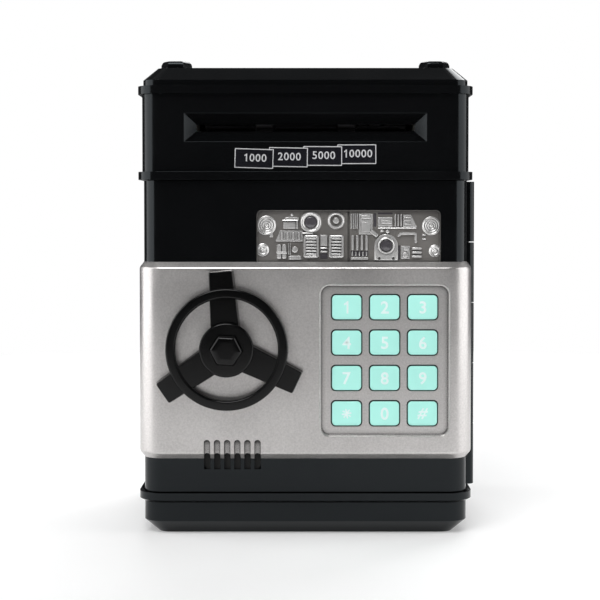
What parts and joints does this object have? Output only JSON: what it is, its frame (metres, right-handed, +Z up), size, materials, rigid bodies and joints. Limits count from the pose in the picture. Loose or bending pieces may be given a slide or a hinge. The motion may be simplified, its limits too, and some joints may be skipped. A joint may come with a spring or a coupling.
{
  "type": "toy cash machine money bank",
  "caption": "Toy cash-machine money bank: black case, hinged safe door with a silver panel, handwheel latch, keypad, window and a motor-driven banknote slot.",
  "frame": {"origin": "centre of the case's footprint on its underside", "axes": "+Z up, the door faces -Y, the hinge is on +X"},
  "size_m": [0.1365, 0.1253, 0.1908],
  "materials": {
    "black_plastic": "glossy black moulded plastic",
    "grey_plastic": "dark grey moulded plastic",
    "silver_paint": "satin silver paint on plastic",
    "mint_plastic": "soft mint green plastic",
    "clear_plastic": "clear moulded plastic",
    "silver_film": "satin silver film",
    "white_nylon": "white nylon",
    "steel": "zinc plated steel",
    "rubber": "moulded rubber",
    "circuit_board": "green solder mask",
    "speaker_cone": "black paper cone",
    "battery_wrap": "plain blue sleeve",
    "label_print": "printed label"
  },
  "bodies": {
    "case": {"base_tray": "black_plastic", "battery_cover": "black_plastic", "battery_cover_screw": "steel", "batteries": "battery_wrap", "battery_contacts": "steel", "base_screws": "steel", "main_housing": "black_plastic", "hinge_pin": "steel", "upper_housing": "black_plastic", "housing_screws": "steel", "top_cap": "black_plastic", "cap_screws": "steel", "corner_studs": "black_plastic", "coin_chute": "grey_plastic", "denomination_label": "label_print", "feeder_frame": "grey_plastic", "bill_guide": "grey_plastic", "bill_sensor": "circuit_board", "feed_motor": "steel"},
    "door": {"door_shell": "black_plastic", "front_panel": "silver_paint", "window_lens": "clear_plastic", "window_backing": "silver_film", "led_board": "circuit_board", "key_membrane": "rubber", "keypad_board": "circuit_board", "board_screws": "steel", "speaker": "speaker_cone", "door_liner": "black_plastic", "door_screws": "steel", "latch_cover": "grey_plastic", "lock_solenoid": "steel", "latch_spring": "steel"},
    "wheel": {"handwheel": "black_plastic", "hub_cap": "black_plastic", "spindle": "steel", "latch_pinion": "white_nylon", "spindle_clips": "steel"},
    "bolt": {"latch_bolt": "white_nylon"},
    "plunger": {"lock_plunger": "steel"},
    "feed_roller_set": {"feed_shaft": "steel", "feed_rollers": "rubber", "feed_gear": "white_nylon"},
    "pinch_roller_set": {"pinch_shaft": "steel", "pinch_rollers": "rubber"},
    "idler": {"idler_gear": "white_nylon"},
    "motor_rotor": {"motor_pinion": "white_nylon"},
    "key_1_cap": {"key_1": "mint_plastic"},
    "key_2_cap": {"key_2": "mint_plastic"},
    "key_3_cap": {"key_3": "mint_plastic"},
    "key_4_cap": {"key_4": "mint_plastic"},
    "key_5_cap": {"key_5": "mint_plastic"},
    "key_6_cap": {"key_6": "mint_plastic"},
    "key_7_cap": {"key_7": "mint_plastic"},
    "key_8_cap": {"key_8": "mint_plastic"},
    "key_9_cap": {"key_9": "mint_plastic"},
    "key_star_cap": {"key_star": "mint_plastic"},
    "key_0_cap": {"key_0": "mint_plastic"},
    "key_hash_cap": {"key_hash": "mint_plastic"}
  },
  "joints": [
    {"name": "door_swing", "type": "hinge", "parent": "case", "child": "door", "pos_m": [0.066, -0.0403, 0.08], "axis": [0, 0, 1], "range_deg": [0, 105]},
    {"name": "wheel_turn", "type": "hinge", "parent": "door", "child": "wheel", "pos_m": [-0.0312, -0.0577, 0.0753], "axis": [0, -1, 0], "range_deg": [0, 75]},
    {"name": "bolt_slide", "type": "slide", "parent": "door", "child": "bolt", "axis": [-1, 0, 0], "range_m": [0, 0.0074], "deforming": ["latch_spring"]},
    {"name": "plunger_drop", "type": "slide", "parent": "door", "child": "plunger", "axis": [0, 0, -1], "range_m": [0, 0.003], "stiffness_N_per_m": 20},
    {"name": "feed_spin", "type": "hinge", "parent": "case", "child": "feed_roller_set", "pos_m": [0, -0.0425, 0.1575], "axis": [1, 0, 0], "continuous": true},
    {"name": "pinch_spin", "type": "hinge", "parent": "case", "child": "pinch_roller_set", "pos_m": [0, -0.0425, 0.1695], "axis": [1, 0, 0], "continuous": true},
    {"name": "idler_spin", "type": "hinge", "parent": "case", "child": "idler", "pos_m": [0.05, -0.0299, 0.1575], "axis": [1, 0, 0], "continuous": true},
    {"name": "motor_spin", "type": "hinge", "parent": "case", "child": "motor_rotor", "pos_m": [0.05, -0.0179, 0.1575], "axis": [1, 0, 0], "continuous": true},
    {"name": "press_1", "type": "slide", "parent": "door", "child": "key_1_cap", "axis": [0, 1, 0], "range_m": [0, 0.0012], "stiffness_N_per_m": 300},
    {"name": "press_2", "type": "slide", "parent": "door", "child": "key_2_cap", "axis": [0, 1, 0], "range_m": [0, 0.0012], "stiffness_N_per_m": 300},
    {"name": "press_3", "type": "slide", "parent": "door", "child": "key_3_cap", "axis": [0, 1, 0], "range_m": [0, 0.0012], "stiffness_N_per_m": 300},
    {"name": "press_4", "type": "slide", "parent": "door", "child": "key_4_cap", "axis": [0, 1, 0], "range_m": [0, 0.0012], "stiffness_N_per_m": 300},
    {"name": "press_5", "type": "slide", "parent": "door", "child": "key_5_cap", "axis": [0, 1, 0], "range_m": [0, 0.0012], "stiffness_N_per_m": 300},
    {"name": "press_6", "type": "slide", "parent": "door", "child": "key_6_cap", "axis": [0, 1, 0], "range_m": [0, 0.0012], "stiffness_N_per_m": 300},
    {"name": "press_7", "type": "slide", "parent": "door", "child": "key_7_cap", "axis": [0, 1, 0], "range_m": [0, 0.0012], "stiffness_N_per_m": 300},
    {"name": "press_8", "type": "slide", "parent": "door", "child": "key_8_cap", "axis": [0, 1, 0], "range_m": [0, 0.0012], "stiffness_N_per_m": 300},
    {"name": "press_9", "type": "slide", "parent": "door", "child": "key_9_cap", "axis": [0, 1, 0], "range_m": [0, 0.0012], "stiffness_N_per_m": 300},
    {"name": "press_star", "type": "slide", "parent": "door", "child": "key_star_cap", "axis": [0, 1, 0], "range_m": [0, 0.0012], "stiffness_N_per_m": 300},
    {"name": "press_0", "type": "slide", "parent": "door", "child": "key_0_cap", "axis": [0, 1, 0], "range_m": [0, 0.0012], "stiffness_N_per_m": 300},
    {"name": "press_hash", "type": "slide", "parent": "door", "child": "key_hash_cap", "axis": [0, 1, 0], "range_m": [0, 0.0012], "stiffness_N_per_m": 300}
  ],
  "couplings": [
    {"joint": "bolt_slide", "follows": "wheel_turn", "m_per_rad": 0.0056},
    {"joint": "pinch_spin", "follows": "feed_spin", "ratio": -1},
    {"joint": "idler_spin", "follows": "feed_spin", "ratio": -2.5},
    {"joint": "motor_spin", "follows": "feed_spin", "ratio": 7.5}
  ]
}
